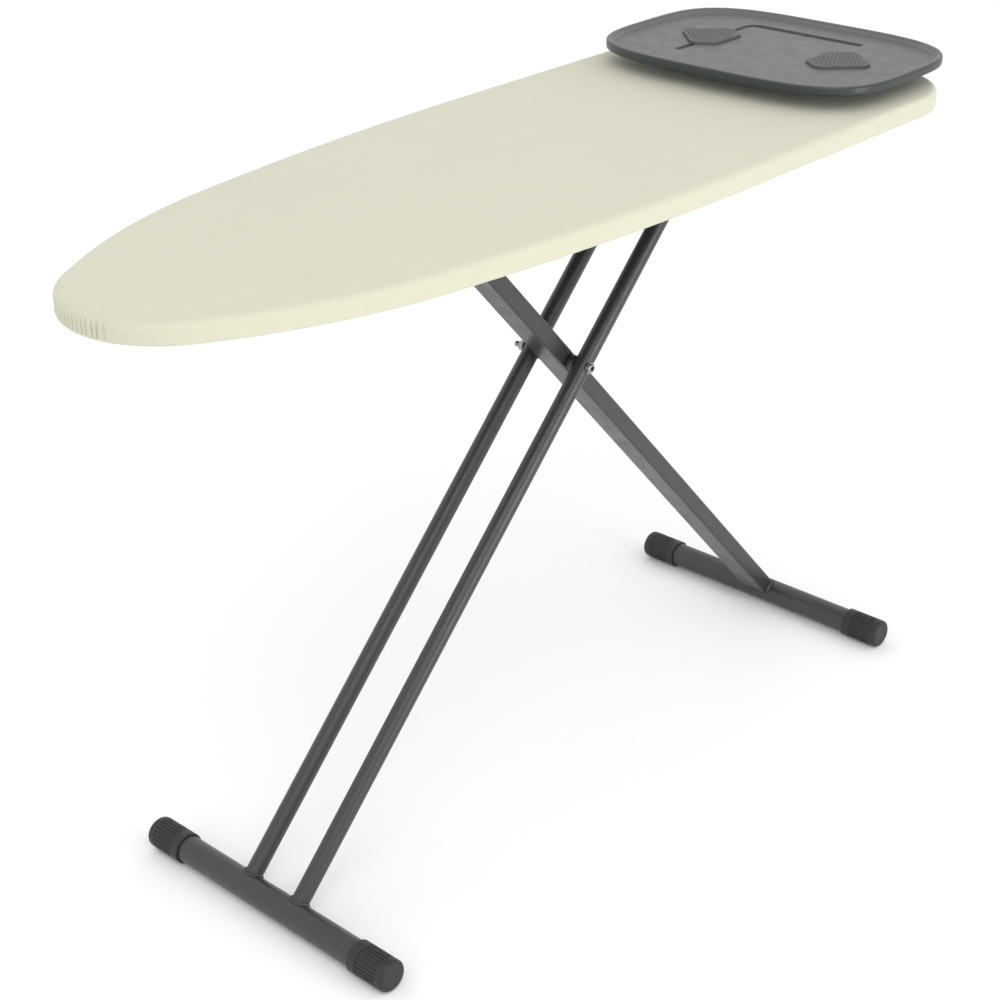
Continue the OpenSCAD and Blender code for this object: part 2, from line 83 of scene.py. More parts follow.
class Look:
    """A node material: a Principled shader and the textures that feed it."""

    def __init__(self, name, color, roughness, metallic=0.0, specular=0.5):
        self.material = bpy.data.materials.new(name)
        self.material.use_nodes = True
        self.tree = self.material.node_tree
        self.shader = self.tree.nodes["Principled BSDF"]
        self.color = color
        self.set("Base Color", (*color, 1))
        self.set("Roughness", roughness)
        self.set("Metallic", metallic)
        self.set("Specular IOR Level", specular)
        self.place = self.add("ShaderNodeTexCoord").outputs["Object"]

    def add(self, kind, **values):
        made = self.tree.nodes.new(kind)
        for key, value in values.items():
            setattr(made, key, value)
        return made

    def link(self, source, target):
        self.tree.links.new(source, target)

    def set(self, socket, value):
        self.shader.inputs[socket].default_value = value

    def stretched(self, stretch):
        """Coordinates scaled along each axis, for streaks and threads."""
        mapping = self.add("ShaderNodeMapping")
        mapping.inputs["Scale"].default_value = stretch
        self.link(self.place, mapping.inputs["Vector"])
        return mapping.outputs["Vector"]

    def noise(self, scale, detail=3.0, stretch=None):
        made = self.add("ShaderNodeTexNoise")
        made.inputs["Scale"].default_value = scale
        made.inputs["Detail"].default_value = detail
        self.link(self.stretched(stretch) if stretch else self.place, made.inputs["Vector"])
        return made.outputs["Fac"]

    def cells(self, scale):
        made = self.add("ShaderNodeTexVoronoi")
        made.inputs["Scale"].default_value = scale
        self.link(self.place, made.inputs["Vector"])
        return made.outputs["Distance"]

    def spread(self, value, low, high, new_low=0.0, new_high=1.0):
        made = self.add("ShaderNodeMapRange")
        self.link(value, made.inputs["Value"])
        for socket, number in (("From Min", low), ("From Max", high),
                               ("To Min", new_low), ("To Max", new_high)):
            made.inputs[socket].default_value = number
        return made.outputs["Result"]

    def math(self, operation, a, b=None):
        made = self.add("ShaderNodeMath", operation=operation)
        for index, value in enumerate((a, b)):
            if isinstance(value, (int, float)):
                made.inputs[index].default_value = value
            elif value is not None:
                self.link(value, made.inputs[index])
        return made.outputs[0]

    def tint(self, *layers):
        """Each layer is a factor and the colour that it blends in."""
        current = None
        for factor, color in layers:
            made = self.add("ShaderNodeMix", data_type="RGBA")
            self.link(factor, made.inputs["Factor"])
            if current is None:
                made.inputs[MIX_FIRST].default_value = (*self.color, 1)
            else:
                self.link(current, made.inputs[MIX_FIRST])
            made.inputs[MIX_SECOND].default_value = (*color, 1)
            current = made.outputs[MIX_RESULT]
        self.link(current, self.shader.inputs["Base Color"])

    def rough(self, value, low, high):
        """Roughness that varies between two values."""
        self.link(self.spread(value, 0.3, 0.7, low, high), self.shader.inputs["Roughness"])

    def bump(self, *heights):
        """Each height is a value, a strength and the depth of its relief in millimetres."""
        normal = None
        for value, strength, depth in heights:
            made = self.add("ShaderNodeBump")
            made.inputs["Strength"].default_value = strength
            made.inputs["Distance"].default_value = depth * MM
            self.link(value, made.inputs["Height"])
            if normal is not None:
                self.link(normal, made.inputs["Normal"])
            normal = made.outputs["Normal"]
        self.link(normal, self.shader.inputs["Normal"])

    def weave(self, pitch):
        """A plain weave of threads, whatever way the cloth faces."""
        turns = self.add("ShaderNodeVectorMath", operation="SCALE")
        turns.inputs["Scale"].default_value = math.pi / (pitch * MM)
        self.link(self.place, turns.inputs[0])
        split = self.add("ShaderNodeSeparateXYZ")
        self.link(turns.outputs["Vector"], split.inputs["Vector"])
        x, y, z = (self.math("SINE", split.outputs[axis]) for axis in "XYZ")
        flat = self.math("MULTIPLY", x, y)
        side = self.math("MULTIPLY", self.math("ADD", x, y), z)
        return self.math("ADD", flat, side)


def frame_paint():
    look = Look("frame_paint", (0.029, 0.031, 0.030), 0.32, specular=0.6)
    mottle = look.noise(9, 4)
    scuff = look.noise(60, 6, (1, 1, 0.3))
    look.tint((look.spread(mottle, 0.3, 0.7, 0.0, 0.35), (0.025, 0.027, 0.026)),
              (look.spread(scuff, 0.66, 0.82, 0.0, 0.35), (0.06, 0.062, 0.06)))
    look.rough(look.noise(35, 4), 0.3, 0.42)
    look.bump((look.noise(900, 2), 0.25, 0.25), (look.cells(420), 0.12, 0.2))
    return look.material


def cover_fabric():
    look = Look("cover_fabric", (0.56, 0.553, 0.435), 0.82, specular=0.25)
    thread = look.weave(0.9)
    slub_x = look.noise(70, 3, (0.12, 3.0, 3.0))
    slub_y = look.noise(70, 3, (3.0, 0.12, 3.0))
    broad = look.noise(5, 3)
    look.tint((look.spread(thread, -0.8, 0.8, 0.0, 0.25), (0.595, 0.585, 0.465)),
              (look.spread(slub_x, 0.5, 0.8, 0.0, 0.35), (0.63, 0.615, 0.49)),
              (look.spread(slub_y, 0.5, 0.8, 0.0, 0.35), (0.505, 0.5, 0.39)),
              (look.spread(broad, 0.35, 0.7, 0.0, 0.4), (0.585, 0.56, 0.44)))
    look.rough(look.noise(220, 3), 0.74, 0.9)
    look.bump((thread, 0.35, 0.12), (slub_x, 0.2, 0.2), (slub_y, 0.2, 0.2))
    look.set("Sheen Weight", 0.25)
    look.set("Sheen Roughness", 0.5)
    return look.material


def felt():
    look = Look("felt", (0.56, 0.54, 0.5), 0.95, specular=0.15)
    fibre = look.noise(380, 6, (1, 0.3, 1))
    fleck = look.noise(90, 4)
    look.tint((look.spread(fibre, 0.35, 0.65), (0.66, 0.64, 0.6)),
              (look.spread(fleck, 0.58, 0.75, 0.0, 0.6), (0.38, 0.37, 0.36)))
    look.rough(fibre, 0.9, 1.0)
    look.bump((fibre, 0.7, 0.5))
    look.set("Sheen Weight", 0.3)
    return look.material


def elastic():
    look = Look("elastic", (0.8, 0.8, 0.77), 0.8, specular=0.25)
    thread = look.weave(0.6)
    look.tint((look.spread(thread, -0.8, 0.8), (0.66, 0.66, 0.63)))
    look.rough(look.noise(300, 3), 0.7, 0.9)
    look.bump((thread, 0.6, 0.2))
    return look.material


def sewing_thread():
    look = Look("sewing_thread", (0.78, 0.75, 0.62), 0.7, specular=0.3)
    ply = look.noise(1500, 2)
    look.tint((look.spread(ply, 0.4, 0.6), (0.64, 0.61, 0.5)))
    look.rough(ply, 0.6, 0.8)
    look.bump((ply, 0.5, 0.1))
    return look.material


def tray_plastic():
    look = Look("tray_plastic", (0.118, 0.121, 0.117), 0.46, specular=0.4)
    grain = look.noise(1400, 3)
    cloud = look.noise(14, 4)
    rub = look.noise(120, 5, (0.25, 1.4, 1))
    look.tint((look.spread(cloud, 0.3, 0.7, 0.0, 0.5), (0.13, 0.132, 0.129)),
              (look.spread(rub, 0.66, 0.8, 0.0, 0.4), (0.16, 0.161, 0.159)),
              (look.spread(grain, 0.3, 0.7, 0.0, 0.4), (0.1, 0.103, 0.1)))
    look.rough(look.noise(45, 4), 0.4, 0.52)
    look.bump((grain, 0.3, 0.12), (look.cells(800), 0.15, 0.1))
    return look.material


# Darker plastic for the tray's outer wall and its groove: painted shade, where the real tray is
# most likely one colour throughout.
def tray_painted_shade():
    look = Look("tray_painted_shade", (0.033, 0.042, 0.043), 0.36, specular=0.4)
    cloud = look.noise(16, 4)
    rub = look.noise(140, 5, (1, 1, 0.3))
    look.tint((look.spread(cloud, 0.3, 0.7, 0.0, 0.5), (0.027, 0.035, 0.036)),
              (look.spread(rub, 0.68, 0.84, 0.0, 0.4), (0.07, 0.075, 0.075)))
    look.rough(look.noise(40, 4), 0.3, 0.42)
    look.bump((look.noise(1400, 3), 0.25, 0.1))
    return look.material


def silicone():
    look = Look("silicone", (0.1, 0.102, 0.099), 0.58, specular=0.35)
    dust = look.noise(260, 5)
    look.tint((look.spread(dust, 0.5, 0.75, 0.0, 0.7), (0.15, 0.15, 0.147)))
    look.rough(look.noise(80, 4), 0.5, 0.66)
    look.bump((dust, 0.2, 0.15))
    return look.material


def black_plastic():
    look = Look("black_plastic", (0.03, 0.031, 0.031), 0.4, specular=0.5)
    grain = look.noise(1300, 3)
    look.tint((look.spread(look.noise(70, 5), 0.55, 0.8, 0.0, 0.6), (0.055, 0.056, 0.056)))
    look.rough(look.noise(50, 4), 0.34, 0.5)
    look.bump((grain, 0.35, 0.12))
    return look.material


def cap_rubber():
    look = Look("cap_rubber", (0.024, 0.026, 0.024), 0.5, specular=0.35)
    dust = look.noise(150, 6)
    look.tint((look.spread(dust, 0.5, 0.8, 0.0, 0.6), (0.045, 0.046, 0.044)))
    look.rough(look.noise(60, 4), 0.42, 0.62)
    look.bump((look.noise(900, 3), 0.35, 0.2))
    return look.material


def zinc_steel():
    look = Look("zinc_steel", (0.36, 0.36, 0.35), 0.3, metallic=1.0)
    spangle = look.cells(180)
    streak = look.noise(200, 5, (1, 0.08, 1))
    look.tint((look.spread(spangle, 0.2, 0.7, 0.0, 0.5), (0.29, 0.295, 0.295)),
              (look.spread(streak, 0.55, 0.8, 0.0, 0.5), (0.47, 0.465, 0.45)))
    look.rough(streak, 0.26, 0.44)
    look.bump((streak, 0.15, 0.1))
    return look.material


def nylon():
    look = Look("nylon", (0.76, 0.74, 0.66), 0.45, specular=0.45)
    cloud = look.noise(120, 4)
    look.tint((look.spread(cloud, 0.35, 0.7, 0.0, 0.7), (0.68, 0.66, 0.58)))
    look.rough(cloud, 0.38, 0.55)
    look.bump((look.noise(1200, 2), 0.2, 0.1))
    return look.material


def floor_look():
    look = Look("studio_floor", (0.96, 0.96, 0.96), 0.75, specular=0.1)
    cloud = look.noise(0.7, 2)
    look.tint((look.spread(cloud, 0.3, 0.7, 0.0, 0.5), (0.95, 0.95, 0.95)))
    look.rough(cloud, 0.7, 0.8)
    return look.material


LOOKS = {maker.__name__: maker() for maker in (
    frame_paint, cover_fabric, felt, elastic, sewing_thread, tray_plastic, tray_painted_shade, silicone,
    black_plastic, cap_rubber, zinc_steel, nylon)}

FINISH = {
    "frame_paint": ["rim_nose", "rim_left", "rim_right", "rim_tail", "cross_rib_nose",
                    "cross_rib_tail", "slide_rail_left", "slide_rail_right",
                    "hinge_bracket_left", "hinge_bracket_right", "tray_arm_left",
                    "tray_arm_right", "latch_mounts", "leg_tube_left", "leg_tube_right",
                    "front_foot_bar", "rear_foot_bar", "rear_leg_tube", "top_sheet"],
    "zinc_steel": ["hinge_pins", "frame_rivets", "tray_screws", "arm_bolts", "latch_axle",
                   "latch_plate", "pivot_nut", "pivot_washers", "slide_rod"],
    "black_plastic": ["latch_grip", "latch_pad", "leg_plugs", "rear_plug", "rod_caps",
                      "pivot_spacers"],
    "cap_rubber": ["front_cap_left", "front_cap_right", "rear_cap_left", "rear_cap_right"],
    "nylon": ["pivot_bush"],
}

for look_name, names in FINISH.items():
    for cad_name in names:
        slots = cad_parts[cad_name].data.materials
        slots.clear()
        slots.append(LOOKS[look_name])


# ---- Mesh tools ----

def add_object(name, mesh, look, body, sharp=35):
    mesh.materials.clear()
    mesh.materials.append(LOOKS[look])
    mesh.polygons.foreach_set("use_smooth", [True] * len(mesh.polygons))
    mesh.set_sharp_from_angle(angle=math.radians(sharp))
    made = bpy.data.objects.new(name, mesh)
    bpy.context.scene.collection.objects.link(made)
    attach(made, body)
    return made


def to_mesh(name, points, faces):
    mesh = bpy.data.meshes.new(name)
    mesh.from_pydata([tuple(p) for p in points], [], faces)
    mesh.validate()
    mesh.update()
    return mesh


def face_outwards(mesh):
    """Joins points that coincide and turns every face outwards."""
    work = bmesh.new()
    work.from_mesh(mesh)
    bmesh.ops.remove_doubles(work, verts=work.verts, dist=1e-7)
    bmesh.ops.recalc_face_normals(work, faces=work.faces)
    work.to_mesh(mesh)
    work.free()


def apply_modifiers(made):
    graph = bpy.context.evaluated_depsgraph_get()
    mesh = bpy.data.meshes.new_from_object(made.evaluated_get(graph))
    made.modifiers.clear()
    made.data = mesh


def ring_faces(first, second, count):
    """Quads between two rings, which start at the point numbers first and second."""
    return [(first + i, first + (i + 1) % count, second + (i + 1) % count, second + i)
            for i in range(count)]


def loft(rings, closed_profile=False):
    """Joins rings that have the same number of points, and the last to the first if asked."""
    count = len(rings[0])
    points = [p for ring in rings for p in ring]
    faces = []
    for j in range(len(rings) - 1):
        faces += ring_faces(j * count, (j + 1) * count, count)
    if closed_profile:
        faces += ring_faces((len(rings) - 1) * count, 0, count)
    return points, faces


def cap_ends(points, faces, sides):
    """Closes the first and the last ring of a loft."""
    faces.append(tuple(range(sides)))
    faces.append(tuple(range(len(points) - 1, len(points) - sides - 1, -1)))


def sweep(path, outward, radius, sides=10, closed=True):
    """A bead along a path. outward holds a direction for each point of the path."""
    count = len(path)
    rings = []
    for i, p in enumerate(path):
        if closed:
            tangent = path[(i + 1) % count] - path[i - 1]
        else:
            tangent = path[min(i + 1, count - 1)] - path[max(i - 1, 0)]
        tangent.normalize()
        n = (outward[i] - tangent * outward[i].dot(tangent)).normalized()
        b = tangent.cross(n)
        r = radius(i)
        rings.append([p + (n * math.cos(a) + b * math.sin(a)) * r
                      for a in (2 * math.pi * k / sides for k in range(sides))])
    points, faces = loft(rings, closed_profile=closed)
    if not closed:
        cap_ends(points, faces, sides)
    return points, faces


def fill(loops, inner_points=()):
    """Triangles inside the first loop, with every loop kept as an edge."""
    flat, edges = [], []
    for loop in loops:
        start = len(flat)
        flat += [Vector((p[0], p[1])) for p in loop]
        edges += [(start + i, start + (i + 1) % len(loop)) for i in range(len(loop))]
    flat += [Vector(p) for p in inner_points]
    points, _, faces, _, _, _ = delaunay_2d_cdt(flat, edges, [], 1, 1e-7)
    return points, [tuple(f) for f in faces]


def merged(parts):
    """One list of points and one of faces, from several."""
    points, faces = [], []
    for part_points, part_faces in parts:
        start = len(points)
        points += list(part_points)
        faces += [tuple(start + i for i in face) for face in part_faces]
    return points, faces


def rounded_copy(node, name, look, body, width):
    """A CAD node with its hard edges rounded, by a width in millimetres."""
    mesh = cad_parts[node].data.copy()
    work = bmesh.new()
    work.from_mesh(mesh)
    bmesh.ops.remove_doubles(work, verts=work.verts, dist=2e-6)
    bmesh.ops.dissolve_limit(work, angle_limit=math.radians(1.5),
                             verts=work.verts, edges=work.edges)
    work.to_mesh(mesh)
    work.free()
    made = add_object(name, mesh, look, body)
    bevel = made.modifiers.new("rounding", "BEVEL")
    bevel.width = width * MM
    bevel.segments = 3
    bevel.limit_method = "ANGLE"
    bevel.angle_limit = math.radians(28)
    apply_modifiers(made)
    made.data.polygons.foreach_set("use_smooth", [True] * len(made.data.polygons))
    made.data.set_sharp_from_angle(angle=math.radians(40))
    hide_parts(node)
    return made


# ---- Board outline ----

cover_lo, cover_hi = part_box("cover")
nose_x, tail_x = cover_lo.x, cover_hi.x
half_w = cover_hi.y
top_z = cover_hi.z
# Radii of the outline's arcs, and the direction outwards where the middle arc meets the side
NOSE_R, MID_R, SIDE_R, TAIL_R = 0.132, 0.685, 3.480, 0.115
SIDE_END = math.radians(98.42)
# The nose is sampled finely from its tip to this direction, as far as the gathers reach
GATHERS_END = math.radians(125)
nose_cx = nose_x + NOSE_R


def board_edge(fine, medium, coarse):
    """Samples of the board's outline as (x, y, outward x, outward y, length so far)."""
    side_cy = SIDE_R - half_w
    lift = (side_cy - (SIDE_R - MID_R) * math.sin(SIDE_END)) / (MID_R - NOSE_R)
    turn = math.pi - math.asin(lift)
    mid_cx = nose_cx - (MID_R - NOSE_R) * math.cos(turn)
    mid_cy = (MID_R - NOSE_R) * math.sin(turn)
    side_cx = mid_cx - (SIDE_R - MID_R) * math.cos(SIDE_END)
    left = []

    def arc(cx, cy, r, start, end, step):
        n = max(2, math.ceil(abs(end - start) * r / step))
        for i in range(n):
            a = start + (end - start) * i / n
            left.append((cx + r * math.cos(a), cy + r * math.sin(a), math.cos(a), math.sin(a)))

    def line(start, end, out, step):
        n = max(2, math.ceil((Vector(end) - Vector(start)).length / step))
        for i in range(n):
            p = Vector(start).lerp(Vector(end), i / n)
            left.append((p.x, p.y, *out))

    arc(nose_cx, 0, NOSE_R, math.pi, GATHERS_END, fine)
    arc(nose_cx, 0, NOSE_R, GATHERS_END, turn, medium)
    arc(mid_cx, -mid_cy, MID_R, turn, SIDE_END, coarse)
    arc(side_cx, -side_cy, SIDE_R, SIDE_END, math.pi / 2, coarse)
    line((side_cx, half_w), (tail_x - TAIL_R, half_w), (0, 1), coarse)
    arc(tail_x - TAIL_R, half_w - TAIL_R, TAIL_R, math.pi / 2, 0, medium)
    line((tail_x, half_w - TAIL_R), (tail_x, 0), (1, 0), coarse)
    left.append((tail_x, 0, 1, 0))
    loop = left + [(x, -y, nx, -ny) for x, y, nx, ny in reversed(left[1:-1])]
    samples, so_far = [], 0.0
    for i, (x, y, nx, ny) in enumerate(loop):
        if i:
            so_far += math.hypot(x - loop[i - 1][0], y - loop[i - 1][1])
        samples.append((x, y, nx, ny, so_far))
    return samples


def inner_grid(loop, step, margin):
    """Grid points that lie inside a loop, some way from its edge."""
    xs = [p[0] for p in loop]
    found = []
    x = min(xs) + margin
    while x < max(xs) - margin:
        crossing = []
        for i, p in enumerate(loop):
            q = loop[(i + 1) % len(loop)]
            if (p[0] - x) * (q[0] - x) < 0:
                crossing.append(p[1] + (q[1] - p[1]) * (x - p[0]) / (q[0] - p[0]))
        if len(crossing) >= 2:
            low, high = min(crossing) + margin, max(crossing) - margin
            n = max(1, int((high - low) / step))
            if high > low:
                found += [(x, low + (high - low) * k / n) for k in range(n + 1)]
        x += step
    return found


# ---- Cover ----

# Depth of the hem below the top, and insets from the edge, in millimetres
HEM_BELOW, STITCH_INSET, ELASTIC_INSET = 26, 19.4, 24
# How far the cloth between two gathers stands out
GATHER_RISE = 1.7
# The gathers' range round the nose, in degrees, where its tip is at 180
FIRST_FOLD, LAST_FOLD = 126.0, 197.0


def gather_folds():
    """Place, depth, lean and width of each gather that the elastic pulls in round the nose."""
    draw = random.Random(11)
    folds = []
    at = FIRST_FOLD
    while at < LAST_FOLD:
        strong = min(1.0, (at - 120) / 14, (202 - at) / 12)
        folds.append((math.radians(180 - at) * NOSE_R, strong * draw.uniform(3.4, 4.4),
                      draw.uniform(-0.05, 0.05), draw.uniform(0.95, 1.3) * MM))
        at += draw.uniform(2.9, 3.8)
    return folds


FOLDS = gather_folds()


def gather(along, total, below):
    """How far in millimetres the gathers make the cover stand out at a place on its edge."""
    near = along if along < total / 2 else along - total
    height = 0.0
    for place, depth, lean, width in FOLDS:
        d = (near - place - lean * below) / width
        if abs(d) < 3.5:
            height -= depth * math.exp(-d * d)
    rise = min(1, max(0, (near + 0.085) / 0.06)) * min(1, max(0, (0.165 - near) / 0.05))
    return height + GATHER_RISE * rise * rise * (3 - 2 * rise)


def ripple(along):
    """The small waves of the hem under the board, from -0.5 to 0.5."""
    return (math.sin(along / 0.0031) * 0.5 + math.sin(along / 0.0047 + 1.3) * 0.6) * 0.45


def cover_profile():
    """Rows of inset from the edge, depth below the top, share of gathers and of ripple."""
    rows = [(60, 0, 0, 0), (44, 0, 0, 0), (32, 0, 0, 0), (22, 0.05, 0.03, 0),
            (15, 0.12, 0.08, 0), (11, 0.25, 0.15, 0)]
    for step in range(1, 7):
        a = math.radians(15 * step)
        rows.append((9 - 9 * math.sin(a), 9 - 8.75 * math.cos(a), 0.15 + 0.12 * step, 0))
    rows += [(0.12, 11.5, 0.95, 0), (0.4, 14, 1, 0), (0.55, 16.5, 1, 0), (0.5, 19, 1, 0),
             (0.3, 21.5, 1, 0), (0.1, 23.4, 1, 0.1), (0.25, 24.7, 1, 0.2), (0.9, 25.6, 0.95, 0.3),
             (2.2, 26, 0.9, 0.4), (6, 26, 0.7, 0.6), (10, 26, 0.55, 0.8), (14, 26, 0.45, 0.9),
             (17.5, 26, 0.4, 1), (19.4, 25.9, 0.35, 1), (21.4, 26, 0.3, 1), (24.5, 26, 0.3, 1),
             (26.8, 25.5, 0.3, 1), (28, 23.7, 0.3, 1), (27.4, 22, 0.3, 1), (25, 21.1, 0.3, 1),
             (22, 21.2, 0.3, 1), (20.4, 22.2, 0.3, 1), (20, 24.4, 0.3, 1)]
    return rows


def hem_lift(along, total):
    return 0.5 * MM * (ripple(along) + 0.4 * gather(along, total, HEM_BELOW * MM))


def cover_ring(edge, row):
    """One row of the cover's section, taken all round the board."""
    inset, below, folds, rippled = row
    total = edge[-1][4]
    ring = []
    for x, y, nx, ny, along in edge:
        out = gather(along, total, below * MM) * folds * MM
        tail = min(1, max(0, (abs(y) - 0.12) / 0.05)) * min(1, max(0, (x - tail_x + 0.12) / 0.05))
        out += 0.35 * MM * tail * folds * math.sin(along / 0.0035)
        lift = rippled * hem_lift(along, total)
        soft = 0.25 * MM * noise.noise(Vector((x * 9, y * 9, below * 0.08)))
        d = inset * MM - out
        ring.append(Vector((x - nx * d, y - ny * d, top_z - below * MM + lift - abs(soft) * 0.5)))
    return ring


def make_cover():
    """The whole cover: a taut top, a soft edge, gathers at the nose and a hem underneath."""
    edge = board_edge(0.0009, 0.0022, 0.0045)
    rows = cover_profile()
    rings = [cover_ring(edge, row) for row in rows]
    points, faces = loft(rings)
    inner = rings[0]
    flat, triangles = fill([inner], inner_grid(inner, 0.016, 0.007))
    start = len(points)
    for p in flat:
        nearest = 0.5 * MM * abs(noise.noise(Vector((p.x * 4, p.y * 4, 0.3))))
        points.append(Vector((p.x, p.y, top_z - nearest)))
    for i, p in enumerate(inner):
        points[start + i] = p.copy()
    faces += [tuple(start + i for i in face) for face in triangles]
    mesh = to_mesh("cover_cloth", points, faces)
    face_outwards(mesh)
    if sum(f.normal.z * f.area for f in mesh.polygons) < 0:
        mesh.flip_normals()
    made = add_object("cover_cloth", mesh, "cover_fabric", "board", sharp=80)
    shell = made.modifiers.new("cloth", "SOLIDIFY")
    shell.thickness = 0.8 * MM
    shell.offset = -1
    shell.use_even_offset = False
    apply_modifiers(made)
    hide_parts("cover")
    return edge, rows


def make_stitches(edge, rows):
    """A row of running stitches that closes the hem."""
    row = next(r for r in rows if r[0] == STITCH_INSET)
    path = cover_ring(edge, row)
    spots = [(p, along[4]) for p, along in zip(path, edge)]
    parts = []
    at = 0.002
    index = 0
    while at < edge[-1][4] - 0.004:
        ends = []
        for place in (at, at + 0.0028):
            while spots[index + 1][1] < place:
                index += 1
            (p, s), (q, t) = spots[index], spots[index + 1]
            ends.append(p.lerp(q, (place - s) / (t - s)))
        a, b = (end - Vector((0, 0, 0.12 * MM)) for end in ends)
        along = (b - a).normalized()
        path_points = [a + Vector((0, 0, 0.25 * MM)), a.lerp(b, 0.25), a.lerp(b, 0.75),
                       b + Vector((0, 0, 0.25 * MM))]
        across = along.cross(Vector((0, 0, 1))).normalized()
        parts.append(sweep(path_points, [across] * 4, lambda i: 0.28 * MM, 6, closed=False))
        at += 0.0042
    mesh = to_mesh("hem_stitches", *merged(parts))
    made = add_object("hem_stitches", mesh, "sewing_thread", "board", 60)


def make_elastic():
    """The flat elastic inside the hem."""
    edge = board_edge(0.0022, 0.0022, 0.0045)
    total = edge[-1][4]
    rings = []
    for du, dz in ((-2, -0.5), (-1.6, -0.8), (1.6, -0.8), (2, -0.5),
                   (2, 0.5), (1.6, 0.8), (-1.6, 0.8), (-2, 0.5)):
        ring = []
        for x, y, nx, ny, along in edge:
            d = (ELASTIC_INSET + du) * MM
            z = top_z - 23.55 * MM + dz * MM + hem_lift(along, total)
            ring.append(Vector((x - nx * d, y - ny * d, z)))
        rings.append(ring)
    mesh = to_mesh("hem_band", *loft(rings, closed_profile=True))
    face_outwards(mesh)
    made = add_object("hem_band", mesh, "elastic", "board")
    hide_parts("hem_elastic")


def make_felt():
    """The felt pad under the cover, with a soft edge."""
    edge = board_edge(0.006, 0.006, 0.009)
    felt_lo, felt_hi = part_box("felt_pad")
    base, height = felt_lo.z, felt_hi.z - felt_lo.z
    rows = [(60, height), (40, height), (25, height), (15, height), (11.5, height - 0.05 * MM)]
    for step in range(1, 6):
        a = math.radians(15 * step)
        rows.append((11 - 7 * math.sin(a), height - 7 * MM * (1 - math.cos(a))))
    rows += [(4.0, 0.9 * MM), (4.5, 0.2 * MM), (5.5, 0), (20, 0), (60, 0)]
    rings = []
    for inset, z in rows:
        ring = []
        for x, y, nx, ny, _ in edge:
            soft = 0.12 * MM * noise.noise(Vector((x * 60, y * 60, z * 90)))
            ring.append(Vector((x - nx * (inset * MM + abs(soft)), y - ny * inset * MM,
                                base + max(z - abs(soft), 0))))
        rings.append(ring)
    parts = [loft(rings)]
    for ring, level in ((rings[0], base + height), (rings[-1], base)):
        flat, triangles = fill([ring], inner_grid(ring, 0.02, 0.01))
        spots = [Vector((p.x, p.y, level)) for p in flat]
        for i, p in enumerate(ring):
            spots[i] = p.copy()
        parts.append((spots, triangles))
    mesh = to_mesh("felt_core", *merged(parts))
    face_outwards(mesh)
    made = add_object("felt_core", mesh, "felt", "board", 60)
    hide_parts("felt_pad")


# ---- Iron tray ----

tray_lo, tray_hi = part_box("tray_shell")
tray_mid = (tray_lo + tray_hi) / 2
tray_a = (tray_hi.x - tray_lo.x) / 2
tray_b = (tray_hi.y - tray_lo.y) / 2
tray_top = tray_hi.z
tray_floor = tray_top - 8 * MM
# The outline is a superellipse of this power
TRAY_POWER = 3.7
# Middle of the left rest, from the middle of the tray, in millimetres
REST_X, REST_Y = 4.5, 116


def tray_spot(a, half_x, half_y):
    c, s = math.cos(a), math.sin(a)
    power = 2 / TRAY_POWER
    return Vector((half_x * math.copysign(abs(c) ** power, c),
                   half_y * math.copysign(abs(s) ** power, s)))


def tray_angles(count):
    """Angles that space the points of the tray's outline evenly along it."""
    many = 6000
    spots = []
    for i in range(many):
        a = 2 * math.pi * (i + 0.5) / many
        spots.append((a, tray_spot(a, tray_a, tray_b)))
    lengths = [0.0]
    for i in range(1, many):
        lengths.append(lengths[-1] + (spots[i][1] - spots[i - 1][1]).length)
    chosen, index = [], 0
    for k in range(count):
        target = lengths[-1] * (k + 0.5) / count
        while lengths[index] < target:
            index += 1
        chosen.append(spots[index][0])
    return chosen


def tray_edge_inset(p):
    """About how far a point lies inside the tray's outline, in millimetres."""
    u, v = abs(p.x - tray_mid.x) / tray_a, abs(p.y - tray_mid.y) / tray_b
    reach = (u ** TRAY_POWER + v ** TRAY_POWER) ** (1 / TRAY_POWER)
    return (1 - reach) * min(tray_a, tray_b) / MM


def tray_ring(angles, inset, z):
    ring = []
    for a in angles:
        spot = tray_spot(a, tray_a - inset * MM, tray_b - inset * MM)
        ring.append(Vector((tray_mid.x + spot.x, tray_mid.y + spot.y, tray_top + z * MM)))
    return ring


def round_corners(corners, radius, steps=5):
    """A polygon with its corners turned into arcs."""
    out = []
    count = len(corners)
    for i in range(count):
        p, q, r = (Vector(corners[(i + k - 1) % count]) for k in range(3))
        a, b = (p - q).normalized(), (r - q).normalized()
        reach = min(radius, (p - q).length * 0.45, (r - q).length * 0.45)
        start, end = q + a * reach, q + b * reach
        for k in range(steps + 1):
            t = k / steps
            out.append(start * (1 - t) ** 2 + q * 2 * t * (1 - t) + end * t ** 2)
    return out


def rest_spot(side, x, y):
    return Vector((tray_mid.x + (REST_X + x) * MM, side * (REST_Y + y) * MM))


def rest_outline(side, grow):
    """The pad's outline, moved outwards by grow."""
    corners = [(-30, -40), (27, -40), (46, -14), (42, 2), (8, 42), (-5, 42), (-47, -4), (-47, -15)]
    shape = [p + p.normalized() * grow for p in round_corners(corners, 3.5)]
    return [rest_spot(side, p.x, p.y) for p in shape]


def groove_path():
    """Centre line of the drip groove with its half widths: along the left side, then across."""
    left, right, far, near, bend = 106.0, -80.0, 99.0, -76.0, 14.0
    thin, wide = 6.0, 9.0
    path = [(near + (far - bend - near) * i / 24, left, thin) for i in range(24)]
    for i in range(13):
        a = math.radians(90 - 90 * i / 12)
        path.append((far - bend + bend * math.cos(a), left - bend + bend * math.sin(a),
                     thin + (wide - thin) * i / 12))
    path += [(far, left - bend + (right - left + bend) * i / 24, wide) for i in range(1, 25)]
    return [(Vector((tray_mid.x + x * MM, y * MM)), half * MM) for x, y, half in path]


GROOVE = groove_path()


